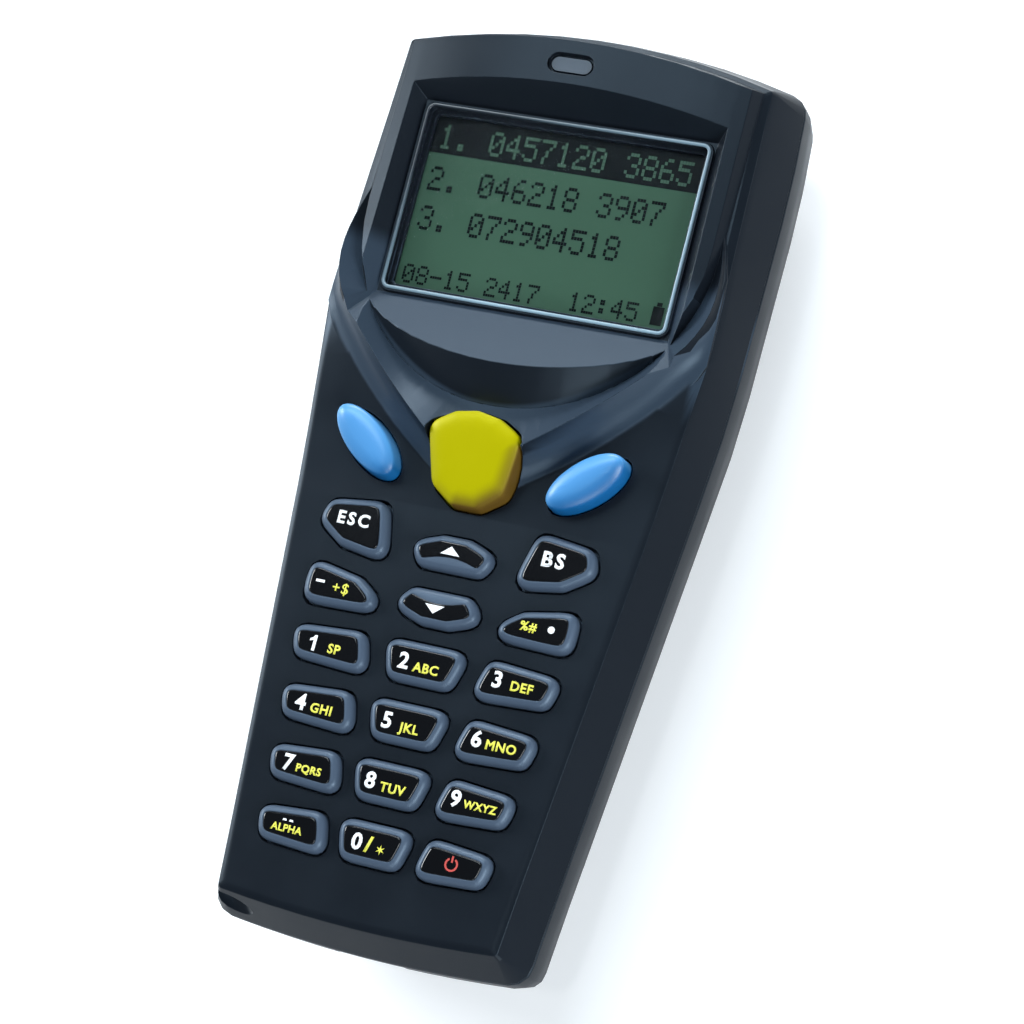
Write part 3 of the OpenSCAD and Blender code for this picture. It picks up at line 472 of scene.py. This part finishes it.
# Insets and rises of a small key, from the edge of its skirt over the rubber rim to the cap
RIM_STEPS = [(0.1, 0.33), (0.15, 0.27), (0.2, 0.19), (0.25, 0.13), (0.18, 0.05), (0.08, -0.05)]
CAP_STEPS = [(0.02, 0.11), (0.05, 0.05), (0.1, 0.03)]
# These keys' corners are softened further
CORNER_KEYS = ("key_escape", "key_backspace", "key_minus", "key_dot")
# Depth of the skirt's foot under a key's highest point, and the skirt's height
FOOT_DEPTH = 2.7 * MM
SKIRT_HEIGHT = 1.49 * MM
# Depth and half width of the hollow in the arrow keys' caps
HOLLOW_DEPTH = 0.75 * MM
HOLLOW_HALF = 3.7 * MM


def soft_outline(node, cut):
    """The outline of a small key where it leaves its hole, with its corners softened."""
    bm = bmesh.new()
    bm.faces.new([bm.verts.new(v.co) for v in cut.verts])
    for edge in bm.edges[:]:
        cuts = int(edge.calc_length() / (0.45 * MM))
        if cuts:
            bmesh.ops.subdivide_edges(bm, edges=[edge], cuts=cuts)
    for _ in range(9 if node in CORNER_KEYS else 5):
        bmesh.ops.smooth_vert(bm, verts=bm.verts, factor=0.5, use_axis_x=True, use_axis_y=True)
    return bm


def bend_cap(node, verts, middle):
    """Hollows the inner side of the two arrow keys' caps."""
    way = {"key_up": 1, "key_down": -1}.get(node, 0)
    for vert in verts:
        x, y = vert.co.x - middle.x, vert.co.y - middle.y
        if way and way * y < 0:
            vert.co.y += way * HOLLOW_DEPTH * max(0, 1 - (x / HOLLOW_HALF) ** 2)


def inset_top(bm, face, inset, rise):
    """Insets the top face of a key and lifts it, and gives the new faces round it."""
    ring = bmesh.ops.inset_region(
        bm, faces=[face], thickness=inset * MM, depth=rise * MM, use_even_offset=True)
    return ring["faces"]


def add_cap(bm, node):
    """Cuts the plain top off a small key, and adds its rubber rim and black cap."""
    low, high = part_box(node)
    bmesh.ops.bisect_plane(
        bm, geom=bm.verts[:] + bm.edges[:] + bm.faces[:], plane_co=(0, 0, high.z - FOOT_DEPTH),
        plane_no=(0, 0, 1), clear_outer=True)
    cut = bmesh.ops.holes_fill(bm, edges=[e for e in bm.edges if e.is_boundary])["faces"][0]
    top = soft_outline(node, cut)
    skin = bmesh.ops.extrude_face_region(top, geom=top.faces[:])["geom"]
    bmesh.ops.translate(top, verts=verts_of(skin), vec=(0, 0, SKIRT_HEIGHT))
    bmesh.ops.recalc_face_normals(top, faces=top.faces)
    cap = max(top.faces, key=lambda f: f.calc_center_median().z)
    for inset, rise in RIM_STEPS:
        inset_top(top, cap, inset, rise)
    bend_cap(node, cap.verts, (low + high) / 2)
    for inset, rise in CAP_STEPS:
        for face in inset_top(top, cap, inset, rise):
            face.material_index = 1
    cap.material_index = 1
    for face in top.faces:
        face.smooth = True
    mark_sharp(top, 55)
    for edge in cap.edges:
        edge.smooth = False
    mark_sharp(bm, 50)
    part = bpy.data.meshes.new("part")
    top.to_mesh(part)
    top.free()
    bm.from_mesh(part)


def build_key(node):
    plain = {"key_scan": "yellow", "key_left": "blue", "key_right": "blue"}.get(node)
    bm = welded(node)
    if plain:
        bmesh.ops.join_triangles(bm, faces=bm.faces, angle_face_threshold=radians(40),
                                 angle_shape_threshold=radians(60))
    else:
        add_cap(bm, node)
    materials = [paint(plain)] if plain else [paint("rubber"), paint("cap")]
    piece = new_piece(node.replace("key_", "button_"), bm, materials)
    if plain:
        rounding = piece.modifiers.new("rounding", "SUBSURF")
        rounding.levels = rounding.render_levels = 2
    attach(piece, node)
    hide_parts(node)


KEYS = [n for n in sorted(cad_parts) if n.startswith("key_")]


# ---- Legends ------------------------------------------------------------------------

def outline_of(text, size, bold, spacing=1.0):
    words = bpy.data.curves.new("words", "FONT")
    words.body = text
    words.size = size * MM
    words.align_x, words.align_y = "CENTER", "CENTER"
    words.offset = bold * MM
    words.space_character = spacing
    words.resolution_u = 3
    holder = bpy.data.objects.new("words", words)
    scene.collection.objects.link(holder)
    bpy.context.view_layer.update()
    mesh = bpy.data.meshes.new_from_object(holder)
    bpy.data.objects.remove(holder)
    bm = bmesh.new()
    bm.from_mesh(mesh)
    bmesh.ops.remove_doubles(bm, verts=bm.verts, dist=0.001 * MM)
    return bm


def polygon_outline(points):
    bm = bmesh.new()
    bm.faces.new([bm.verts.new((x * MM, y * MM, 0)) for x, y in points])
    return bm


def ring_outline(radius, width, start, sweep):
    """A band along an arc, for the power symbol."""
    bm = bmesh.new()
    rim = [bm.verts.new((r * MM * cos(radians(start)), r * MM * sin(radians(start)), 0))
           for r in (radius - width / 2, radius + width / 2)]
    edge = bm.edges.new(rim)
    bmesh.ops.spin(bm, geom=[*rim, edge], cent=(0, 0, 0), axis=(0, 0, 1),
                   angle=radians(sweep), steps=20)
    return bm


def disc_outline(radius):
    bm = bmesh.new()
    bmesh.ops.create_circle(bm, cap_ends=True, segments=20, radius=radius * MM)
    return bm


def star_outline(reach, waist):
    turns = [(radians(30 * k + 90), waist if k % 2 else reach) for k in range(12)]
    return polygon_outline([(r * cos(t), r * sin(t)) for t, r in turns])


# Depth of the ink's underside below a key's highest point in the frame, and its thickness
CAP_DROP = 0.11 * MM
INK_THICKNESS = 0.035 * MM


def print_legend(node, marks):
    """Ink on a key's cap: each mark is an outline, its place from the key's middle and its ink."""
    low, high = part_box(node)
    middle = (low + high) / 2
    whole = bmesh.new()
    inks = []
    for bm, x, y, ink in marks:
        if ink not in inks:
            inks.append(ink)
        for face in bm.faces:
            face.material_index = inks.index(ink)
        bmesh.ops.translate(
            bm, verts=bm.verts, vec=(middle.x + x * MM, middle.y + y * MM, high.z - CAP_DROP))
        part = bpy.data.meshes.new("part")
        bm.to_mesh(part)
        bm.free()
        whole.from_mesh(part)
    for face in whole.faces:
        face.normal_update()
        if face.normal.z < 0:
            face.normal_flip()
    skin = bmesh.ops.extrude_face_region(whole, geom=whole.faces[:], use_keep_orig=True)["geom"]
    bmesh.ops.translate(whole, verts=verts_of(skin), vec=(0, 0, INK_THICKNESS))
    bmesh.ops.recalc_face_normals(whole, faces=whole.faces)
    piece = new_piece(node.replace("key_", "legend_"), whole, [paint(ink) for ink in inks])
    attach(piece, node)


# Places of the digit and of the letters in the left, middle and right columns
PLACES = [
    ((-1.95, -0.15), (0.95, -0.5)),
    ((-2.2, -0.15), (0.9, -0.6)),
    ((-2.25, 0.15), (1.05, -0.2)),
]
LETTERS = ["SP", "ABC", "DEF", "GHI", "JKL", "MNO", "PQRS", "TUV", "WXYZ"]
LETTER_SIZE = {2: 1.65, 3: 1.65, 4: 1.36}
ONE = [
    (-0.06, -1), (0.34, -1), (0.34, 1), (0.02, 1),
    (-0.2, 0.66), (-0.55, 0.5), (-0.55, 0.18), (-0.06, 0.36),
]
ARROW = [(-1.3, -0.5), (1.3, -0.5), (0, 0.6)]
DASH = [(-0.6, -0.17), (0.6, -0.17), (0.6, 0.17), (-0.6, 0.17)]
TICK = [(-0.28, -0.1), (0.28, -0.1), (0.2, 0.14), (-0.2, 0.14)]
BAR = [(-0.12, 0.25), (0.12, 0.25), (0.12, 1.05), (-0.12, 1.05)]


def digit_mark(digit):
    return polygon_outline(ONE) if digit == 1 else outline_of(str(digit), 2.8, 0.085)


def print_legends():
    for i, letters in enumerate(LETTERS):
        (dx, dy), (x, y) = PLACES[i % 3]
        print_legend("key_%d" % (i + 1), [
            (digit_mark(i + 1), dx, dy, "white_ink"),
            (outline_of(letters, LETTER_SIZE[len(letters)], 0.05, 1.1), x, y, "yellow_ink"),
        ])
    print_legend("key_0", [
        (digit_mark(0), -1.75, -0.15, "white_ink"),
        (outline_of("/", 2.6, 0.1), -0.15, -0.2, "yellow_ink"),
        (star_outline(0.62, 0.2), 1.5, -0.45, "yellow_ink"),
    ])
    print_legend("key_escape", [(outline_of("ESC", 2.25, 0.07, 1.32), -0.15, 0.45, "white_ink")])
    print_legend("key_backspace", [(outline_of("BS", 2.6, 0.09, 1.3), -0.5, 0.35, "white_ink")])
    print_legend("key_up", [(polygon_outline(ARROW), -0.1, 0.25, "white_ink")])
    print_legend("key_down", [
        (polygon_outline([(x, -y) for x, y in reversed(ARROW)]), -0.2, -0.15, "white_ink"),
    ])
    print_legend("key_minus", [
        (polygon_outline(DASH), -2.7, 0.1, "white_ink"),
        (outline_of("+$", 1.95, 0.015, 1.15), 0.2, -0.4, "yellow_ink"),
    ])
    print_legend("key_dot", [
        (outline_of("%#", 1.6, 0.05, 1.15), -0.85, -0.2, "yellow_ink"),
        (disc_outline(0.45), 2.15, 0, "white_ink"),
    ])
    print_legend("key_alpha", [
        (outline_of("ALPHA", 1.3, 0.04, 1.05), -0.3, -0.45, "yellow_ink"),
        (polygon_outline(TICK), -0.85, 0.6, "white_ink"),
        (polygon_outline(TICK), 0.05, 0.6, "white_ink"),
    ])
    print_legend("key_power", [
        (ring_outline(0.75, 0.24, 120, 300), 0, 0, "red_ink"),
        (polygon_outline(BAR), 0, 0, "red_ink"),
    ])


# ---- Display ------------------------------------------------------------------------

# Seven rows of five dots to a character
DOTS = {
    "0": "01110 10001 10011 10101 11001 10001 01110",
    "1": "00100 01100 00100 00100 00100 00100 01110",
    "2": "01110 10001 00001 00110 01000 10000 11111",
    "3": "01110 10001 00001 00110 00001 10001 01110",
    "4": "00010 00110 01010 10010 11111 00010 00010",
    "5": "11111 10000 11110 00001 00001 10001 01110",
    "6": "00110 01000 10000 11110 10001 10001 01110",
    "7": "11111 00001 00010 00100 00100 01000 01000",
    "8": "01110 10001 10001 01110 10001 10001 01110",
    "9": "01110 10001 10001 01111 00001 00010 01100",
    ".": "00000 00000 00000 00000 00000 01100 01100",
    ":": "00000 01100 01100 00000 01100 01100 00000",
    "-": "00000 00000 00000 11111 00000 00000 00000",
}
# Text, left edge, middle, pitch of its dots across and down, and whether it is pale on a dark bar
ROWS = [
    ("1. 0457120 3865", -17.4, 42.9, 0.39, 0.47, True),
    ("2. 046218 3907", -17.4, 37.2, 0.39, 0.47, False),
    ("3. 072904518", -17.4, 31.9, 0.39, 0.47, False),
    ("08-15 2417  12:45", -17.6, 24.3, 0.32, 0.36, False),
]
# Place, size and height of the bar behind the first row, and of the battery mark and its tip
MARKS = [
    (0, 43.15, 37.2, 5.1, 0.02),
    (17.2, 24.3, 1.5, 2.4, 0.03),
    (17.2, 25.8, 0.7, 0.5, 0.03),
]
# Share of its pitch that a dot fills
DOT_FILL = 0.92
DISPLAY_TILT = radians(2.6)
# Rise of the drawing's plane over the middle of the glass
DRAWING_RISE = 1.0 * MM


def place_tilted(bm, point):
    """Scales a drawing in millimetres, tilts it with the display and moves it to a point."""
    turn = Matrix.Translation(point) @ Matrix.Rotation(DISPLAY_TILT, 4, "X") @ Matrix.Scale(MM, 4)
    bmesh.ops.transform(bm, matrix=turn, verts=bm.verts)


def in_display_plane(bm):
    """Turns a drawing on the display, in millimetres from the window's middle, onto the glass."""
    low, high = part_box("lcd_glass")
    up = Vector((0, -sin(DISPLAY_TILT), cos(DISPLAY_TILT)))
    place_tilted(bm, (low + high) / 2 + up * DRAWING_RISE)


def dot_at(bm, x, y, w, h, z):
    bmesh.ops.create_grid(
        bm, x_segments=1, y_segments=1, size=0.5,
        matrix=Matrix.Translation((x, y, z)) @ Matrix.Diagonal((w, h, 1, 1)))


def write_row(bm, text, x0, y0, px, py):
    """Writes a row of characters in dots, six dots to a character."""
    for i, char in enumerate(text):
        for r, line in enumerate(DOTS.get(char, "").split()):
            for c, dot in enumerate(line):
                if dot == "1":
                    dot_at(bm, x0 + (6 * i + c) * px, y0 + (3 - r) * py,
                           DOT_FILL * px, DOT_FILL * py, 0.04)


def build_display():
    """The dark dots with the bar and the battery mark, and the pale dots on the bar."""
    low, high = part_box("lcd_glass")
    middle_y = (low.y + high.y) / 2 / MM
    for name, ink, on_bar in (
            ("display_ink", "lcd_ink", False), ("display_pale", "lcd_pale", True)):
        bm = bmesh.new()
        for text, x0, y0, px, py, pale in ROWS:
            if pale == on_bar:
                write_row(bm, text, x0, y0 - middle_y, px, py)
        if not on_bar:
            for x, y, w, h, z in MARKS:
                dot_at(bm, x, y - middle_y, w, h, z)
        in_display_plane(bm)
        piece = new_piece(name, bm, [paint(ink)])
        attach(piece, "body")


# The bead's outline over the window's, its corner, width, height, edge radius and depth, in mm
BEAD_OVERLAP = 0.9
BEAD_CORNER = 1.2
BEAD_WIDTH = 0.46
BEAD_HEIGHT = 0.34
BEAD_EDGE = 0.14
BEAD_DEPTH = 0.05


def build_bead():
    """A thin bead round the window, where it meets the basin; its pale lower and right runs are a
    painted highlight.
    """
    low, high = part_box("display_window")
    size = (high - low) / MM
    bm = bmesh.new()
    outline = Matrix.Diagonal((size.x + BEAD_OVERLAP, size.y + BEAD_OVERLAP, 1, 1))
    bmesh.ops.create_grid(bm, x_segments=1, y_segments=1, size=0.5, matrix=outline)
    bmesh.ops.bevel(bm, geom=bm.verts[:], affect="VERTICES", offset=BEAD_CORNER, segments=6,
                    profile=0.5, material=-1)
    middle = bm.faces[:]
    rim = bmesh.ops.inset_region(bm, faces=middle, thickness=BEAD_WIDTH, use_boundary=True,
                                 use_even_offset=True)["faces"]
    bmesh.ops.delete(bm, geom=middle, context="FACES_ONLY")
    skin = bmesh.ops.extrude_face_region(bm, geom=rim, use_keep_orig=True)["geom"]
    bmesh.ops.translate(bm, verts=verts_of(skin), vec=(0, 0, BEAD_HEIGHT))
    bmesh.ops.recalc_face_normals(bm, faces=bm.faces)
    edges = [e for e in bm.edges
             if min(v.co.z for v in e.verts) > BEAD_HEIGHT / 2 and e.calc_face_angle(0) > 1]
    bmesh.ops.bevel(bm, geom=edges, affect="EDGES", offset=BEAD_EDGE, segments=3,
                    profile=0.5, material=-1)
    for face in bm.faces:
        face.smooth = True
    middle = (low + high) / 2
    fall = 0.5 * size.y * MM * sin(DISPLAY_TILT)
    place_tilted(bm, Vector((middle.x, middle.y, high.z - fall - BEAD_DEPTH * MM)))
    piece = new_piece("window_bead", bm, [paint("bead")])
    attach(piece, "body")


# ---- Everything ---------------------------------------------------------------------

# Inner and clear nodes keep their CAD mesh, in a finish of their own
INNER = {
    "display_window": "window",
    "lcd_glass": "lcd",
    "lcd_backlight": "diffuser",
    "status_light": "lens",
    "status_led": "diffuser",
    "main_board": "board",
    "processor": "chip",
    "buzzer": "chip",
    "backup_cell": "nickel",
    "keypad_mat": "rubber",
    "scan_engine": "engine",
    "scan_window": "red_glass",
    "ir_window": "red_glass",
    "battery_left": "sleeve",
    "battery_right": "sleeve",
    "battery_spring_left": "nickel",
    "battery_spring_right": "nickel",
    "contact_plates": "nickel",
    "case_screws": "screw",
}

place_camera()
light_the_room()
lay_floor()
build_covers()
for key in KEYS:
    build_key(key)
print_legends()
build_display()
build_bead()
for node, name in INNER.items():
    repaint(node, name)
